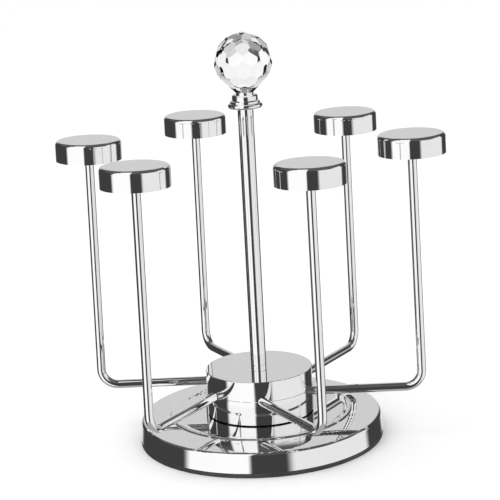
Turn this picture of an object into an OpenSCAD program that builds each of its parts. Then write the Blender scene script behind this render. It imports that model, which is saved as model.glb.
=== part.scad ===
// Revolving mug tree: a weighted round base, a hub that turns on a ball thrust bearing, six bent
// rod arms that end in button caps, and a tubular post that carries a faceted crystal ball.
// Millimetres, +Z up, origin on the floor at the centre of the base.

/* [Base] */
// Radius of the base at the lower edge of its skirt
base_r = 88; // [80:0.5:110]
// Amount by which the skirt draws in towards the top
skirt_draw = 1; // [0.4:0.1:3]
// Height of the skirt's shoulder above the floor
base_h = 17.4; // [16:0.2:24]
// Radius of the rounded shoulder between skirt and top
shoulder_r = 2.4; // [2:0.1:5]
// Slope of the domed top beside the shoulder, in degrees
dome_tilt = 8; // [5:0.5:12]
// Thickness of the base plate's sheet steel
base_wall = 1; // [0.8:0.1:1.4]
// Radius of the raised bead's crown
bead_r = 64.2; // [50:0.2:68]
// Width of the bead's inner flank
bead_in_w = 5; // [3:0.2:8]
// Height of the bead above the plate's middle
bead_h = 0.7; // [0.3:0.1:1.2]
// Height of the rubber edging that the base stands on
foot_h = 3.3; // [1.5:0.1:4]
// Width of the rubber edging
foot_w = 6; // [4:0.5:10]
// Thickness of the plate that closes the base from below
cover_t = 1; // [0.8:0.1:2]
// Thickness of the ballast
weight_t = 10; // [6:0.5:10]

/* [Hub] */
// Outer radius of the hub
hub_r = 38.4; // [37:0.2:44]
// Sheet thickness of the drum and the lid
hub_wall = 1.2; // [0.8:0.1:1.6]
// Gap between the base plate and the drum's lower rim
hub_gap = 0.9; // [0.5:0.1:2]
// Height of the lid's side above the seam
lid_h = 14.4; // [13:0.2:20]
// Radius of the lid's top edge
lid_edge_r = 0.5; // [0.3:0.1:1]
// Height of the carrier between the drum's floor and the seam
carrier_h = 11.1; // [10.4:0.1:16]
// Thickness of the clamp ring
clamp_t = 6; // [5:0.2:7]

/* [Bearing] */
// Gap between the races and the drum's wall
race_gap = 3.2; // [2:0.2:5]
// Radius of one bearing ball
bearing_ball_r = 2; // [1.5:0.1:2.4]
// Number of bearing balls
bearing_balls_n = 12; // [6:1:14]
// Width of the two races
race_w = 12; // [9:0.5:12.5]
// Thickness of one race under its groove
race_web = 0.95; // [0.7:0.05:1.6]

/* [Pivot] */
// Radius of the pivot bolt's shank
pivot_r = 4; // [3:0.5:5]
// Height of the nut that holds the bolt to the base
base_nut_h = 3.6; // [3:0.2:4]

/* [Arms] */
// Radius of an arm's rod
rod_r = 3.15; // [2.5:0.05:3.6]
// Distance by which each arm passes the middle of the post
arm_offset = 16.7; // [15:0.2:18]
// Distance along an arm from its point nearest the post to the rod that stands up
arm_reach = 116.5; // [105:0.5:150]
// Lean of the standing rods towards the post, in degrees
arm_lean = 0.9; // [0:0.1:2]
// Radius of the bend, to the middle of the rod
bend_r = 12; // [8:0.5:20]
// Direction of the first arm, from +X towards +Y
arm_start = -1.8; // [-30:0.1:30]
// Length of the hook at an arm's inner end, below the middle of the rod
hook_l = 8; // [6:0.5:9]

/* [Caps] */
// Radius of a cap
cap_r = 23.7; // [18:0.1:28]
// Height of a cap
cap_h = 14.3; // [11:0.2:20]
// Height of a cap's lower edge above the floor
cap_z = 206.4; // [150:0.5:240]
// Radius of a cap's rounded shoulder
cap_edge_r = 3.1; // [1.4:0.1:4]
// Sheet thickness of a cap
cap_wall = 1; // [0.8:0.1:1.2]
// Length of the screwed end of a rod inside its cap
spigot_l = 8; // [5:0.5:9]

/* [Post] */
// Outer radius of the post
post_r = 5.6; // [5:0.1:7]
// Wall of the post's tube
post_wall = 1; // [0.8:0.1:1.4]
// Length of the post's tube, from the lid to the collar
post_l = 188.8; // [120:0.5:260]
// Radius of the tie rod inside the post
tie_r = 3; // [2:0.5:3.5]

/* [Finial] */
// Largest radius of the collar, at its lower bead
collar_r = 12.2; // [10:0.1:14]
// Height of the collar
collar_h = 11.2; // [11:0.1:16]
// Radius of the collar's neck
neck_r = 6.1; // [5.5:0.1:7]
// Radius of the crystal ball over its flats
crystal_r = 19.2; // [16:0.2:28]
// Number of facets around the ball
facets_round = 10; // [6:1:12]

/* [Hidden] */
$fn = 96;

// Clearances: between screwed or pressed pieces, in a running fit, and beside a loose piece
fit = 0.05;
play = 0.3;
// Overshoot of a cut, so that it breaks cleanly through a face
past = 1;
// Chamfer at the hub's seam, where two bright pieces meet
broken_edge = 0.3;
// Fine line turned round the post: its depth, and its height above the lid
fine_line = 0.25;
post_line = 2.3;

// Number of arms, evenly spaced, and the direction of each
arms_n = 6;
function arm_az(k) = arm_start + k * 360 / arms_n;

// Points of an arc about [x, y], from angle a0 to a1, in n steps
function arc(x, y, r, a0, a1, n = 12) =
    [for (i = [0:n]) let (a = a0 + (a1 - a0) * i / n) [x + r * cos(a), y + r * sin(a)]];

// Base: the bead's outer side is a rounded nose over a hollow foot, and the domed top runs on from
// there to the shoulder. Each arc starts and ends at a slope in degrees.
top_r = base_r - skirt_draw;
nose_r = 2.2;
nose_tilt = 45;
hollow_r = 1;
hollow_tilt = 2.5;
dome_in_r = bead_r + nose_r * sin(nose_tilt) + hollow_r * (sin(nose_tilt) - sin(hollow_tilt));
dome_out_r = top_r - shoulder_r * (1 - sin(dome_tilt));
dome_r = (dome_out_r - dome_in_r) / (sin(dome_tilt) - sin(hollow_tilt));
dome_in_z = base_h + dome_r * (cos(hollow_tilt) - cos(dome_tilt));
nose_z = dome_in_z + hollow_r * (cos(hollow_tilt) - cos(nose_tilt));
bead_z = nose_z + nose_r * (1 - cos(nose_tilt));
middle_z = bead_z - bead_h;
cover_top = foot_h + cover_t;
weight_r = top_r - base_wall - play * 3;
boss_r = 24;

// Screws: M4 throughout, with a flat pan head
screw_r = 2;
screw_head_r = 3.5;
screw_head_h = 1.6;
cover_screw_circle = weight_r * 0.6;
cover_screw_l = weight_t * 0.7;
screw_turn = arm_start - 12;

// Pivot: a hexagon nut and bolt head are 1.625 times the bolt's diameter across flats
hex_r = pivot_r * 1.625 / cos(30);
bolt_head_h = pivot_r * 1.3;
bolt_seat_z = cover_top + play + bolt_head_h;
base_nut_top = middle_z + base_nut_h;

// Bearing: both races are alike, lie just inside the drum's wall, and the balls run in their grooves
hub_in_r = hub_r - hub_wall;
ball_circle_r = hub_in_r - race_gap - race_w / 2;
race_t = race_web + bearing_ball_r * 0.32;
groove_r = bearing_ball_r + fit;
ball_z = middle_z + race_web + groove_r;
floor_z = ball_z + groove_r + race_web;
floor_top = floor_z + hub_wall;
cage_t = 1;
cage_w = race_w * 0.6;

// Bush, washer and nut on top of the drum's floor
bush_wall = 3;
bush_flange_t = 1.5;
bush_flange_r = pivot_r + bush_wall + 3;
bush_flange_top = floor_top + bush_flange_t;
washer_t = 1.5;
washer_top = bush_flange_top + fit + washer_t;
pivot_nut_h = 5;
bolt_top = washer_top + pivot_nut_h + 0.6;

// Hub: the seam between drum and lid lies at the middle of the arms
arm_z = floor_top + carrier_h;
carrier_r = hub_in_r - play;
carrier_bore_r = bush_flange_r + play;
carrier_boss_r = 9;
lid_top = arm_z + lid_h;
lid_under = lid_top - hub_wall;
clamp_bore_r = 15.3;
clamp_top = arm_z + clamp_t;
hook_x = 18;
clamp_screw_inset = 8.9;
clamp_screw_circle = carrier_r - clamp_screw_inset;
drum_screw_gap = 1.5;
drum_screw_circle = ball_circle_r - race_w / 2 - drum_screw_gap - screw_head_r;

// Arms: a rod's shoulder meets its cap's plug
plug_z = cap_z + 0.5;
rod_l = plug_z - arm_z - bend_r;
upset = 0.01;
run_on = 0.3;
spigot_r = rod_r * 0.8;
cap_in_r = cap_r - cap_wall;
plug_r = cap_in_r - fit;

// Post and finial: the collar's tiers, each [radius, height above the post]
post_top = lid_top + post_l;
tie_bottom = arm_z + 1;
tie_top = post_top + collar_h / 2;
neck_top = post_top + collar_h;
stud_r = 2;
stud_bottom = tie_top + 1;
stud_top = neck_top + 5.5;

// Ball: its rows of facets are tilted by these angles from the vertical. The lowest row runs down
// to a flat as wide as the neck, and the highest up to a small flat on top.
facet_rows = [-43, -14, 14, 43, 70];
blank_r = 1.15 * crystal_r;
crown_flat = 1.05 * crystal_r;
seat_flat = (crystal_r - neck_r * cos(facet_rows[0])) / -sin(facet_rows[0]);
crystal_z = neck_top + seat_flat;

// ---- Base ----

// Outside of the base plate in section, or the parallel line further in, from the skirt's lower
// edge to the middle
function plate_skin(in) = concat(
    [[base_r - in, foot_h]],
    crest(dome_out_r, base_h, shoulder_r, in, 90, dome_tilt),
    crest(dome_in_r, dome_in_z, dome_r, in, dome_tilt, hollow_tilt, hollow_tilt),
    hollow(dome_in_r, dome_in_z, hollow_r, in, hollow_tilt, nose_tilt),
    crest(bead_r, bead_z, nose_r, in, nose_tilt, 0, 0),
    flank(bead_r, bead_z - in, bead_r - bead_in_w, middle_z - in),
    [[pivot_r + fit, middle_z - in]]
);

// Arch from slope t0 to slope t1, which passes [x, z] where its slope is at
function crest(x, z, r, in, t0, t1, at = dome_tilt) =
    arc(x - r * sin(at), z - r * cos(at), r - in, 90 - t0, 90 - t1);

// Hollow from slope t0 to slope t1, which starts at [x, z]
function hollow(x, z, r, in, t0, t1) =
    arc(x + r * sin(t0), z + r * cos(t0), r + in, -90 - t0, -90 - t1);

// Smooth flank from [r0, z0] to [r1, z1], level at both ends
function flank(r0, z0, r1, z1, n = 10) =
    [for (i = [0:n]) [r0 + (r1 - r0) * i / n, z0 + (z1 - z0) * (1 - cos(180 * i / n)) / 2]];

function reversed(pts) = [for (i = [len(pts) - 1:-1:0]) pts[i]];

module base_plate() {
    color("gainsboro")
        rotate_extrude($fn = 180)
            polygon(concat(plate_skin(0), reversed(plate_skin(base_wall))));
}

// Rubber edging: a flat ring under the skirt and the cover, rounded where it shows
module foot_ring() {
    edge = 0.5;
    color("dimgray")
        rotate_extrude($fn = 180)
            polygon(concat(
                [[base_r - foot_w, foot_h], [base_r - foot_w, 0]],
                arc(base_r - edge, edge, edge, -90, 0, 6),
                [[base_r, foot_h]]
            ));
}

// Steel plate that closes the base, held up against the ballast by its screws
module base_cover() {
    color("silver")
        difference() {
            translate([0, 0, foot_h])
                cylinder(r = base_r - base_wall - play, h = cover_t, $fn = 180);
            for (a = [0:120:240])
                rotate([0, 0, a])
                    translate([cover_screw_circle, 0, foot_h - past])
                        cylinder(r = screw_r + fit, h = cover_t + 2 * past);
        }
}

// Cast-iron ballast: its boss reaches up to the middle of the plate, and its counterbore holds the
// head of the pivot bolt
module base_weight() {
    color("dimgray")
        difference() {
            union() {
                translate([0, 0, cover_top])
                    cylinder(r = weight_r, h = weight_t, $fn = 180);
                translate([0, 0, cover_top])
                    cylinder(r = boss_r, h = middle_z - base_wall - cover_top);
            }
            translate([0, 0, cover_top - past])
                cylinder(r = pivot_r + fit, h = middle_z);
            translate([0, 0, cover_top - past])
                cylinder(r = hex_r + play, h = bolt_seat_z - cover_top + past);
            for (a = [0:120:240])
                rotate([0, 0, a])
                    translate([cover_screw_circle, 0, cover_top - past])
                        cylinder(r = screw_r + fit, h = cover_screw_l + past + play);
        }
}

module cover_screws() {
    color("silver")
        for (a = [0:120:240])
            rotate([0, 0, a])
                translate([cover_screw_circle, 0, 0])
                    screw(foot_h, cover_t + cover_screw_l);
}

// Pan-head screw that points up, with the underside of its head at z and a shank of length l
module screw(z, l) {
    translate([0, 0, z]) {
        cylinder(r = screw_r, h = l);
        difference() {
            translate([0, 0, -screw_head_h])
                cylinder(r = screw_head_r, h = screw_head_h);
            translate([0, 0, -screw_head_h - past])
                cylinder(r = 1.4, h = past + 0.9, $fn = 6);
        }
    }
}

// ---- Pivot and bearing ----

module pivot_bolt() {
    color("silver") {
        translate([0, 0, bolt_seat_z - bolt_head_h])
            cylinder(r = hex_r, h = bolt_head_h, $fn = 6);
        translate([0, 0, bolt_seat_z - past])
            cylinder(r = pivot_r, h = bolt_top - bolt_seat_z + past);
    }
}

// Hexagon nut on the pivot bolt, with its lower face at z
module hex_nut(z, h) {
    difference() {
        translate([0, 0, z])
            cylinder(r = hex_r, h = h, $fn = 6);
        translate([0, 0, z - past])
            cylinder(r = pivot_r + fit, h = h + 2 * past);
    }
}

module base_nut() {
    color("silver")
        hex_nut(middle_z, base_nut_h);
}

module pivot_washer() {
    color("silver")
        ring(washer_top - washer_t, washer_t, pivot_r + fit, hex_r + 1);
}

module pivot_nut() {
    color("silver")
        hex_nut(washer_top, pivot_nut_h);
}

// Plain ring with its lower face at z
module ring(z, h, r_in, r_out) {
    difference() {
        translate([0, 0, z])
            cylinder(r = r_out, h = h);
        translate([0, 0, z - past])
            cylinder(r = r_in, h = h + 2 * past);
    }
}

// Torus that cuts the balls' groove into a race
module groove() {
    translate([0, 0, ball_z])
        rotate_extrude()
            translate([ball_circle_r, 0])
                circle(r = groove_r, $fn = 48);
}

module race(z) {
    difference() {
        ring(z, race_t, ball_circle_r - race_w / 2, ball_circle_r + race_w / 2);
        groove();
    }
}

module lower_race() {
    color("silver")
        race(middle_z);
}

module upper_race() {
    color("silver")
        race(floor_z - race_t);
}

module at_balls() {
    for (i = [0:bearing_balls_n - 1])
        rotate([0, 0, i * 360 / bearing_balls_n])
            translate([ball_circle_r, 0, ball_z])
                children();
}

module bearing_balls() {
    color("silver")
        at_balls()
            sphere(r = bearing_ball_r, $fn = 32);
}

module ball_cage() {
    color("ivory")
        difference() {
            ring(ball_z - cage_t / 2, cage_t, ball_circle_r - cage_w / 2, ball_circle_r + cage_w / 2);
            at_balls()
                translate([0, 0, -past])
                    cylinder(r = bearing_ball_r + 2 * fit, h = 2 * past, $fn = 32);
        }
}

// Nylon bush: the sleeve fills the bore in the drum's floor, and the flange runs under the washer
module pivot_bush() {
    color("ivory")
        difference() {
            union() {
                translate([0, 0, base_nut_top + play])
                    cylinder(r = pivot_r + bush_wall, h = floor_top - base_nut_top);
                translate([0, 0, floor_top])
                    cylinder(r = bush_flange_r, h = bush_flange_t);
            }
            translate([0, 0, base_nut_top - past])
                cylinder(r = pivot_r + fit, h = hub_r);
        }
}

// ---- Hub ----

// Puts children in the frame of arm k: +X along the arm, with the origin beside the post
module at_arm(k) {
    rotate([0, 0, arm_az(k)])
        translate([0, -arm_offset, arm_z])
            children();
}

// Cuts for every arm along its rod, from x on outwards
module arm_cuts(x, r) {
    for (k = [0:arms_n - 1])
        at_arm(k)
            translate([x, 0, 0])
                rotate([0, 90, 0])
                    cylinder(r = r, h = hub_r, $fn = 48);
}

// Cuts for the hooks at the inner ends of the arms
module hook_cuts() {
    for (k = [0:arms_n - 1])
        at_arm(k)
            translate([hook_x, 0, -hook_l - play])
                cylinder(r = rod_r + play, h = hook_l + rod_r + 2 * play, $fn = 48);
}

// Lower cup: an open skirt below its floor hides the bearing, and its rim carries the lid
module hub_drum() {
    rim_z = middle_z + hub_gap;
    color("gainsboro")
        difference() {
            union() {
                rotate_extrude($fn = 144)
                    polygon([
                        [hub_in_r, rim_z],
                        [hub_r, rim_z],
                        [hub_r, arm_z - broken_edge],
                        [hub_r - broken_edge, arm_z],
                        [hub_in_r, arm_z]
                    ]);
                translate([0, 0, floor_z])
                    cylinder(r = hub_in_r + hub_wall / 2, h = hub_wall);
            }
            translate([0, 0, floor_z - past])
                cylinder(r = pivot_r + bush_wall + fit, h = hub_wall + 2 * past);
            arm_cuts(hub_in_r * 0.7, rod_r + play);
            at_drum_screws()
                translate([0, 0, floor_z - past])
                    cylinder(r = screw_r + fit, h = hub_wall + 2 * past);
        }
}

module at_drum_screws() {
    for (a = [60:120:300])
        rotate([0, 0, screw_turn + a])
            translate([drum_screw_circle, 0, 0])
                children();
}

module at_clamp_screws() {
    for (a = [0:120:240])
        rotate([0, 0, screw_turn + a])
            translate([clamp_screw_circle, 0, 0])
                children();
}

module drum_screws() {
    color("silver")
        at_drum_screws()
            screw(floor_z, hub_wall + carrier_h * 0.7);
}

// Die-cast carrier: grooves and pockets for the arms, a cavity over the pivot nut, and a boss that
// takes the tie rod and props the lid
module arm_carrier() {
    color("darkgray")
        difference() {
            union() {
                translate([0, 0, floor_top])
                    cylinder(r = carrier_r, h = carrier_h);
                translate([0, 0, arm_z - past])
                    cylinder(r = carrier_boss_r, h = lid_under - arm_z + past);
            }
            translate([0, 0, floor_top - past])
                cylinder(r = carrier_bore_r, h = bolt_top + 0.5 - floor_top + past);
            translate([0, 0, tie_bottom])
                cylinder(r = tie_r + fit, h = lid_h);
            arm_cuts(hook_x, rod_r + fit);
            hook_cuts();
            at_drum_screws()
                translate([0, 0, floor_top - past])
                    cylinder(r = screw_r + fit, h = carrier_h * 0.7 + past + play);
            at_clamp_screws()
                translate([0, 0, arm_z - carrier_h * 0.6])
                    cylinder(r = screw_r + fit, h = carrier_h);
        }
}

module clamp_ring() {
    color("darkgray")
        difference() {
            ring(arm_z, clamp_t, clamp_bore_r, carrier_r);
            arm_cuts(hook_x, rod_r + fit);
            hook_cuts();
            at_clamp_screws()
                translate([0, 0, arm_z - past])
                    cylinder(r = screw_r + fit, h = clamp_t + 2 * past);
        }
}

module clamp_screws() {
    color("silver")
        at_clamp_screws()
            translate([0, 0, clamp_top])
                mirror([0, 0, 1])
                    screw(0, clamp_t + carrier_h * 0.5);
}

// Upper cup: its side stands on the drum's rim and its top lies on the carrier's boss
module hub_lid() {
    color("gainsboro")
        difference() {
            rotate_extrude($fn = 144)
                polygon(concat(
                    [[tie_r + play, lid_under], [hub_in_r, lid_under], [hub_in_r, arm_z]],
                    [[hub_r - broken_edge, arm_z], [hub_r, arm_z + broken_edge]],
                    arc(hub_r - lid_edge_r, lid_top - lid_edge_r, lid_edge_r, 0, 90, 6),
                    [[tie_r + play, lid_top]]
                ));
            arm_cuts(hub_in_r * 0.7, rod_r + play);
        }
}

// ---- Arms and caps ----

// Length of an arm's lines that its bend cuts off at their corner
bend_l = bend_r * tan((90 + arm_lean) / 2);

// Puts children where the rod of arm k leaves its bend, +Z along the rod
module at_rod(k) {
    at_arm(k)
        translate([arm_reach - bend_l, 0, bend_r])
            rotate([0, -arm_lean, 0])
                translate([bend_r, 0, 0])
                    children();
}

// One arm: a hook in the hub, a straight run, a bend and the rod with its screwed end. Bending
// upsets the rod a little, and the straight stretches run on just inside the bend.
module arm(k) {
    color("gainsboro") {
        at_arm(k) {
            translate([hook_x, 0, -hook_l])
                cylinder(r = rod_r, h = hook_l, $fn = 48);
            translate([hook_x, 0, 0])
                sphere(r = rod_r + upset, $fn = 48);
            translate([hook_x, 0, 0])
                rotate([0, 90, 0])
                    cylinder(r = rod_r, h = arm_reach - bend_l - hook_x + run_on, $fn = 48);
            translate([arm_reach - bend_l, 0, bend_r])
                rotate([90, 0, 0])
                    rotate([0, 0, -90])
                        rotate_extrude(angle = 90 + arm_lean, $fn = 96)
                            translate([bend_r, 0])
                                circle(r = rod_r + upset, $fn = 48);
        }
        at_rod(k) {
            translate([0, 0, -run_on])
                cylinder(r = rod_r, h = rod_l + run_on, $fn = 48);
            translate([0, 0, rod_l - past])
                cylinder(r = spigot_r, h = spigot_l + past, $fn = 48);
        }
    }
}

// One cap: a pressed cup upside down over its plug
module cap(k) {
    color("gainsboro")
        at_rod(k)
            translate([0, 0, rod_l - plug_z + cap_z])
                rotate_extrude($fn = 120)
                    polygon(concat(
                        [[cap_in_r, 0], [cap_r, 0]],
                        arc(cap_r - cap_edge_r, cap_h - cap_edge_r, cap_edge_r, 0, 90),
                        [[0, cap_h], [0, cap_h - cap_wall]],
                        arc(cap_r - cap_edge_r, cap_h - cap_edge_r, cap_edge_r - cap_wall, 90, 0)
                    ));
}

// Moulded plug that fills the cap and takes the rod's screwed end
module cap_plug(k) {
    plug_h = cap_h - cap_wall - (plug_z - cap_z);
    color("dimgray")
        at_rod(k)
            translate([0, 0, rod_l])
                difference() {
                    rotate_extrude($fn = 120)
                        polygon([
                            [0, 0],
                            [plug_r, 0],
                            [plug_r, plug_h - cap_edge_r],
                            [plug_r - cap_edge_r, plug_h],
                            [0, plug_h]
                        ]);
                    translate([0, 0, -past])
                        cylinder(r = spigot_r + fit, h = spigot_l + past + play, $fn = 48);
                }
}

// ---- Post and finial ----

module post_tube() {
    color("gainsboro")
        rotate_extrude()
            polygon([
                [post_r - post_wall, lid_top],
                [post_r, lid_top],
                [post_r, lid_top + post_line - fine_line],
                [post_r - fine_line, lid_top + post_line],
                [post_r, lid_top + post_line + fine_line],
                [post_r, post_top],
                [post_r - post_wall, post_top]
            ]);
}

// Rod that pulls the collar, the post and the lid down onto the carrier
module tie_rod() {
    color("silver")
        translate([0, 0, tie_bottom])
            cylinder(r = tie_r, h = tie_top - tie_bottom, $fn = 48);
}

// Turned collar: a rounded bead, a low tier, a flare, a tall tier with a bevelled edge, and the neck
// under the ball. Each corner is [radius, height above the post].
module finial_collar() {
    bead = 1.9;
    bevel = 0.9;
    tier_1 = [collar_r - 1.7, 5.1];
    tier_2 = [collar_r - 3.1, 9.6];
    flare_h = 0.7;
    color("gainsboro")
        difference() {
            rotate_extrude()
                polygon(concat(
                    [[0, post_top]],
                    arc(collar_r - bead, post_top + bead, bead, -90, 90),
                    [
                        [tier_1[0], post_top + 2 * bead],
                        [tier_1[0], post_top + tier_1[1]],
                        [tier_2[0], post_top + tier_1[1] + flare_h],
                        [tier_2[0], post_top + tier_2[1] - bevel],
                        [tier_2[0] - bevel, post_top + tier_2[1]],
                        [neck_r, post_top + tier_2[1]],
                        [neck_r, neck_top],
                        [0, neck_top]
                    ]
                ));
            translate([0, 0, post_top - past])
                cylinder(r = tie_r + fit, h = tie_top - post_top + past + play, $fn = 48);
            translate([0, 0, stud_bottom])
                cylinder(r = stud_r + fit, h = stud_top, $fn = 48);
        }
}

module ball_stud() {
    color("silver")
        translate([0, 0, stud_bottom])
            cylinder(r = stud_r, h = stud_top - stud_bottom, $fn = 32);
}

// Cut glass: a round blank trimmed by rows of flat facets, each row turned half a step from the
// next, with a flat underneath as its seat and a blind hole for the stud
module crystal_ball() {
    step = 360 / facets_round;
    color("aliceblue", 0.6)
        difference() {
            translate([0, 0, neck_top])
                cylinder(r = blank_r, h = seat_flat + crown_flat);
            translate([0, 0, crystal_z])
                for (j = [0:len(facet_rows) - 1])
                    for (i = [0:facets_round - 1])
                        rotate([0, 0, (i + (j % 2) / 2) * step])
                            rotate([0, -facet_rows[j], 0])
                                translate([crystal_r, -2 * blank_r, -2 * blank_r])
                                    cube([2 * blank_r, 4 * blank_r, 4 * blank_r]);
            translate([0, 0, neck_top - past])
                cylinder(r = stud_r + fit, h = stud_top - neck_top + past + play, $fn = 32);
        }
}

base_plate();
foot_ring();
base_cover();
base_weight();
cover_screws();
pivot_bolt();
base_nut();
pivot_washer();
pivot_nut();
lower_race();
ball_cage();
bearing_balls();
upper_race();
hub_drum();
pivot_bush();
drum_screws();
arm_carrier();
clamp_ring();
clamp_screws();
hub_lid();
arm(0);  // arm_1
arm(1);  // arm_2
arm(2);  // arm_3
arm(3);  // arm_4
arm(4);  // arm_5
arm(5);  // arm_6
cap(0);  // cap_1
cap(1);  // cap_2
cap(2);  // cap_3
cap(3);  // cap_4
cap(4);  // cap_5
cap(5);  // cap_6
cap_plug(0);  // cap_plug_1
cap_plug(1);  // cap_plug_2
cap_plug(2);  // cap_plug_3
cap_plug(3);  // cap_plug_4
cap_plug(4);  // cap_plug_5
cap_plug(5);  // cap_plug_6
post_tube();
tie_rod();
finial_collar();
ball_stud();
crystal_ball();
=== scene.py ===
"""Looks of the revolving mug tree: a mirror-bright chrome base, hub, arms, caps and post, a rubber
edging, and a cut-crystal finial. Metres, +Z up, origin on the floor at the centre of the base."""

import math

import bmesh
import bpy
from mathutils import Matrix, Vector

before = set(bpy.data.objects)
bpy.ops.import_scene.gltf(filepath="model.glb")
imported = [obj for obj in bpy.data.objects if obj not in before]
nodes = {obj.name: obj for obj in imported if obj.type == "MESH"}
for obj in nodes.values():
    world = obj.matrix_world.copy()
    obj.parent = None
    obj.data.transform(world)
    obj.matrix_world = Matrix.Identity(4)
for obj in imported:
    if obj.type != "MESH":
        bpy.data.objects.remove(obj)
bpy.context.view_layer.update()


# ---- Camera ----
# A long lens a little over a metre away looks slightly down on the mug tree, turned a few degrees
# about its own line of sight.

camera_data = bpy.data.cameras.new("camera")
camera_data.sensor_width = 36
camera_data.lens = 123.05
camera = bpy.data.objects.new("camera", camera_data)
bpy.context.scene.collection.objects.link(camera)
camera.matrix_world = (
    Matrix.Translation((0, -1.18215, 0.42533))
    @ Matrix.Rotation(math.radians(0.094), 4, "Z")
    @ Matrix.Rotation(math.radians(90 - 13.626), 4, "X")
    @ Matrix.Rotation(math.radians(-2.993), 4, "Z")
)
bpy.context.scene.camera = camera
bpy.context.scene.view_settings.view_transform = "Standard"


# ---- Studio ----
# A plain studio: a white screen on either side, black cards between them that draw the edges of the
# chrome, and a dim ceiling. The eye sees plain white behind the object.

class Wire:
    """An output of a shader tree. Arithmetic on it adds Math nodes."""

    def __init__(self, tree, socket=None):
        self.tree = tree
        self.socket = socket

    def node(self, kind, settings=None, inputs=None, output=0):
        """Adds any node: settings come first, then a value or a wire for each input."""
        made = self.tree.nodes.new(kind)
        for name, value in (settings or {}).items():
            setattr(made, name, value)
        for name, value in (inputs or {}).items():
            if isinstance(value, Wire):
                self.tree.links.new(value.socket, made.inputs[name])
            else:
                made.inputs[name].default_value = value
        return Wire(self.tree, made.outputs[output] if made.outputs else None)

    def parts(self, kind, count):
        """The outputs of a node that takes this wire apart."""
        apart = self.node(kind, inputs={0: self}).socket.node
        return [Wire(self.tree, apart.outputs[i]) for i in range(count)]

    def math(self, operation, *values):
        return self.node("ShaderNodeMath", {"operation": operation}, dict(enumerate(values)))

    def __add__(self, other):
        return self.math("ADD", self, other)

    __radd__ = __add__

    def __mul__(self, other):
        return self.math("MULTIPLY", self, other)

    __rmul__ = __mul__

    def __sub__(self, other):
        return self.math("SUBTRACT", self, other)

    def __rsub__(self, other):
        return self.math("SUBTRACT", other, self)


def smooth_step(wire, low, high):
    """0 below low, 1 above high, with an even rise between."""
    settings = {"interpolation_type": "SMOOTHSTEP"}
    return wire.node("ShaderNodeMapRange", settings, {"Value": wire, "From Min": low, "From Max": high})


world = bpy.data.worlds.new("studio")
bpy.context.scene.world = world
world.use_nodes = True
world.node_tree.nodes.clear()
sky = Wire(world.node_tree)
direction = sky.node("ShaderNodeTexCoord", output="Generated")
side, depth, height = direction.parts("ShaderNodeSeparateXYZ", 3)

# Direction round the object in degrees: 0 in front, positive to the right, 180 behind
bearing = side.math("ARCTAN2", side, 0 - depth) * (180 / math.pi)
climb = height.math("ARCSINE", height) * (180 / math.pi)
turned_away = bearing.math("ABSOLUTE", bearing)


def grey(shade):
    """A neutral colour, from black at 0 to white at 1."""
    return (shade, shade, shade, 1)


def blend(amount, first, second):
    """The first colour where amount is 0 and the second where it is 1."""
    tree = amount if isinstance(amount, Wire) else first
    return tree.node("ShaderNodeMix", {"data_type": "RGBA"}, {0: amount, 6: first, 7: second}, 2)


# What the chrome shows: a tall white screen on the left, a lower one on the right, and a grey back
# wall that is lighter near the table. Black cards stand between them, under a dim ceiling. Angles
# are in degrees, and each edge is soft between its two angles.
card_shade = 0.05
ceiling_shade = 0.1
floor_shade = 0.4
right_shade = 0.8
back_shade = 0.6
back_foot_shade = 0.3
card_top = 30
left_screen_rise = 45
back_wall_rise = 20
left_screen = smooth_step(bearing, -80, -70) * smooth_step(bearing, -10, -15)
right_screen = smooth_step(bearing, 20, 30) * smooth_step(bearing, 120, 110) * right_shade
back_wall = smooth_step(turned_away, 150, 170) * (back_shade + smooth_step(climb, 5, -5) * back_foot_shade)
walls = left_screen + right_screen + back_wall + card_shade
behind = smooth_step(turned_away, 130, 150)
wall_top = card_top + left_screen * left_screen_rise + behind * back_wall_rise
above = smooth_step(climb - wall_top, -3, 3)
below = smooth_step(climb, -40, -50)
room = blend(below, blend(above, walls, grey(ceiling_shade)), grey(floor_shade))

# Through the glass, the white backdrop fills most of the view and the room above it is light, but
# the right-hand side of the room and of the table is darker
side_share = 0.7
right_hand = smooth_step(side, -0.12, 0.12)
side_view = blend(right_hand, grey(0.85), grey(0.35))
clear_view = blend(smooth_step(depth, 0.45, 0.8), blend(side_share, room, side_view), grey(1))
clear_view = blend(smooth_step(height, 0.1, 0.3), clear_view, grey(0.93))
table_view = blend(right_hand, grey(0.6), grey(0.22))
clear_view = blend(smooth_step(height, -0.35, -0.6), clear_view, table_view)

path = sky.node("ShaderNodeLightPath").socket.node
mirrored = Wire(world.node_tree, path.outputs["Is Glossy Ray"])
seen_through = Wire(world.node_tree, path.outputs["Is Transmission Ray"])
in_glass_or_metal = mirrored.math("MAXIMUM", mirrored, seen_through)
shown = blend(in_glass_or_metal, grey(1), blend(seen_through, room, clear_view))
light = sky.node("ShaderNodeBackground", inputs={"Color": shown, "Strength": 1.0})
sky.node("ShaderNodeOutputWorld", inputs={"Surface": light})

# A white table top that reaches to the horizon
bm = bmesh.new()
bmesh.ops.create_grid(bm, x_segments=1, y_segments=1, size=3)
mesh = bpy.data.meshes.new("table_top")
bm.to_mesh(mesh)
bm.free()
table_top = bpy.data.objects.new("table_top", mesh)
bpy.context.scene.collection.objects.link(table_top)
table_top.visible_glossy = False
table_top.visible_transmission = False
white = bpy.data.materials.new("white_table")
white.use_nodes = True
white.node_tree.nodes.clear()
paint = Wire(white.node_tree)
matt = paint.node("ShaderNodeBsdfDiffuse", inputs={"Color": grey(1)})
paint.node("ShaderNodeOutputMaterial", inputs={"Surface": matt})
mesh.materials.append(white)

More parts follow.
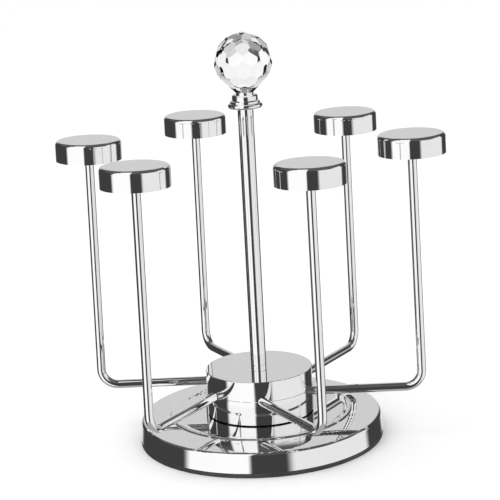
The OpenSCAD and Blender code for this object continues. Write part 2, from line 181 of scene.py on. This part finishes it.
# One wide soft lamp high on the left gives the soft shadow under the base
lamp_data = bpy.data.lights.new("soft_lamp", "AREA")
lamp_data.shape = "DISK"
lamp_data.size = 1.2
lamp_data.energy = 6
soft_lamp = bpy.data.objects.new("soft_lamp", lamp_data)
bpy.context.scene.collection.objects.link(soft_lamp)
lamp_place = Vector((-0.9, -0.6, 1.6))
lamp_turn = lamp_place.to_track_quat("Z", "Y").to_matrix().to_4x4()
soft_lamp.matrix_world = Matrix.Translation(lamp_place) @ lamp_turn
soft_lamp.visible_glossy = False
soft_lamp.visible_transmission = False
soft_lamp.visible_camera = False


# ---- Rubber edging and underside of the base ----
# The base stands on a flat rubber ring, extruded and butt-joined, under the skirt. A zinc-plated
# steel plate closes the base inside it and is held up by three screws.

def start_finish(name):
    """A new material and the tree that its wires belong to."""
    material = bpy.data.materials.new(name)
    material.use_nodes = True
    material.node_tree.nodes.clear()
    return material, Wire(material.node_tree)


def end_finish(wire, **sockets):
    """Closes a material with one surface shader, given its sockets by name."""
    names = {name.replace("_", " "): value for name, value in sockets.items()}
    surface = wire.node("ShaderNodeBsdfPrincipled", inputs=names)
    wire.node("ShaderNodeOutputMaterial", inputs={"Surface": surface})


def noise(wire, scale, detail=3.0, roughness=0.5):
    """Noise through the piece, with its scale per metre."""
    place = wire.node("ShaderNodeTexCoord", output="Object")
    inputs = {"Vector": place, "Scale": scale, "Detail": detail, "Roughness": roughness}
    return wire.node("ShaderNodeTexNoise", inputs=inputs)


def tint(wire, amount, dark, light_shade):
    """Mixes two colours by a wire from 0 to 1."""
    colours = {0: amount, 6: (*dark, 1), 7: (*light_shade, 1)}
    return wire.node("ShaderNodeMix", {"data_type": "RGBA"}, colours, 2)


def bump(wire, relief, depth_m, strength):
    """Surface directions for a relief from 0 to 1, as deep as depth_m."""
    return wire.node("ShaderNodeBump", inputs={"Height": relief, "Distance": depth_m, "Strength": strength})


rubber, wire = start_finish("edging_rubber")
grain = noise(wire, 1500, 4)
patches = smooth_step(noise(wire, 60), 0.35, 0.7)
end_finish(
    wire,
    Base_Color=tint(wire, patches, (0.035, 0.035, 0.037), (0.055, 0.055, 0.057)),
    Roughness=0.5 + grain * 0.25,
    Normal=bump(wire, grain, 0.0001, 0.4),
)

plated_steel, wire = start_finish("zinc_plated_steel")
spangle = noise(wire, 260, 5, 0.6)
end_finish(
    wire,
    Base_Color=tint(wire, spangle, (0.46, 0.47, 0.49), (0.66, 0.67, 0.69)),
    Metallic=1.0,
    Roughness=0.22 + spangle * 0.25,
    Normal=bump(wire, noise(wire, 900), 0.00005, 0.3),
)


def dress(material, *names):
    """Gives CAD nodes a finish. Their shape is right as it is."""
    for name in names:
        node_mesh = nodes[name].data
        node_mesh.materials.clear()
        node_mesh.materials.append(material)


dress(rubber, "foot_ring")
dress(plated_steel, "base_cover", "cover_screws")


# ---- Chrome ----
# Base plate, hub, arms, caps, post and collar are steel, polished, nickel-plated and chromed: a
# clear mirror with faint waves from the press and a breath of handling marks.

chrome, wire = start_finish("polished_chrome")
handling = smooth_step(noise(wire, 55, 5, 0.6), 0.45, 0.75)
waves = noise(wire, 28, 2)
hairlines = noise(wire, 1800, 2)
end_finish(
    wire,
    Base_Color=tint(wire, handling, (0.93, 0.93, 0.935), (0.90, 0.90, 0.905)),
    Metallic=1.0,
    Roughness=0.015 + handling * 0.03 + hairlines * 0.01,
    Normal=bump(wire, waves, 0.0004, 0.08),
)
dress(
    chrome, "base_plate", "hub_drum", "hub_lid", "post_tube", "finial_collar",
    *["arm_%d" % k for k in range(1, 7)], *["cap_%d" % k for k in range(1, 7)],
)


# ---- Inside the base ----
# Grey iron ballast, sand-cast and dipped in black paint.

cast_iron, wire = start_finish("painted_cast_iron")
sand = noise(wire, 420, 6, 0.65)
end_finish(
    wire,
    Base_Color=tint(wire, sand, (0.02, 0.02, 0.022), (0.07, 0.07, 0.072)),
    Roughness=0.55 + sand * 0.3,
    Normal=bump(wire, sand, 0.0004, 0.8),
)
dress(cast_iron, "base_weight")


# ---- Pivot and bearing ----
# A plated M8 bolt with its nuts and washer, two pressed races with twelve steel balls in a nylon
# cage, and a flanged nylon bush.

dress(plated_steel, "pivot_bolt", "base_nut", "pivot_washer", "pivot_nut")

bearing_steel, wire = start_finish("bearing_steel")
film = noise(wire, 140, 3)
end_finish(
    wire,
    Base_Color=tint(wire, film, (0.60, 0.60, 0.61), (0.72, 0.72, 0.73)),
    Metallic=1.0,
    Roughness=0.10 + film * 0.12,
)
dress(bearing_steel, "lower_race", "upper_race", "bearing_balls")

nylon, wire = start_finish("natural_nylon")
flow = noise(wire, 90, 3)
end_finish(
    wire,
    Base_Color=tint(wire, flow, (0.72, 0.69, 0.61), (0.82, 0.80, 0.73)),
    Roughness=0.38 + flow * 0.14,
    Normal=bump(wire, noise(wire, 1200), 0.00004, 0.3),
)
dress(nylon, "ball_cage", "pivot_bush")


# ---- Inside the hub and the post ----
# The carrier and the clamp ring are die-cast aluminium, left as they come out of the die. The
# screws and the tie rod are plated steel.

die_cast, wire = start_finish("die_cast_aluminium")
skin = noise(wire, 180, 5, 0.6)
end_finish(
    wire,
    Base_Color=tint(wire, skin, (0.42, 0.42, 0.43), (0.58, 0.58, 0.59)),
    Metallic=1.0,
    Roughness=0.38 + skin * 0.25,
    Normal=bump(wire, skin, 0.0001, 0.4),
)
dress(die_cast, "arm_carrier", "clamp_ring")
dress(plated_steel, "drum_screws", "clamp_screws", "tie_rod", "ball_stud")


# ---- Plugs in the caps ----
# Black moulded plugs, which show only from below, as a fine-grained ring inside each cap's edge.

plug_plastic, wire = start_finish("black_plug_plastic")
texture = noise(wire, 1400, 3)
end_finish(
    wire,
    Base_Color=tint(wire, noise(wire, 80), (0.018, 0.018, 0.02), (0.032, 0.032, 0.034)),
    Roughness=0.42 + texture * 0.2,
    Normal=bump(wire, texture, 0.00006, 0.5),
)
dress(plug_plastic, *["cap_plug_%d" % k for k in range(1, 7)])


# ---- Crystal ball ----
# Clear lead crystal, cut with rows of flat facets and polished, with a blind hole for its stud.

crystal, wire = start_finish("cut_crystal")
end_finish(
    wire,
    Base_Color=(0.985, 0.99, 0.995, 1),
    Roughness=smooth_step(noise(wire, 70, 4), 0.5, 0.9) * 0.01,
    Transmission_Weight=1.0,
    IOR=1.56,
)
dress(crystal, "crystal_ball")
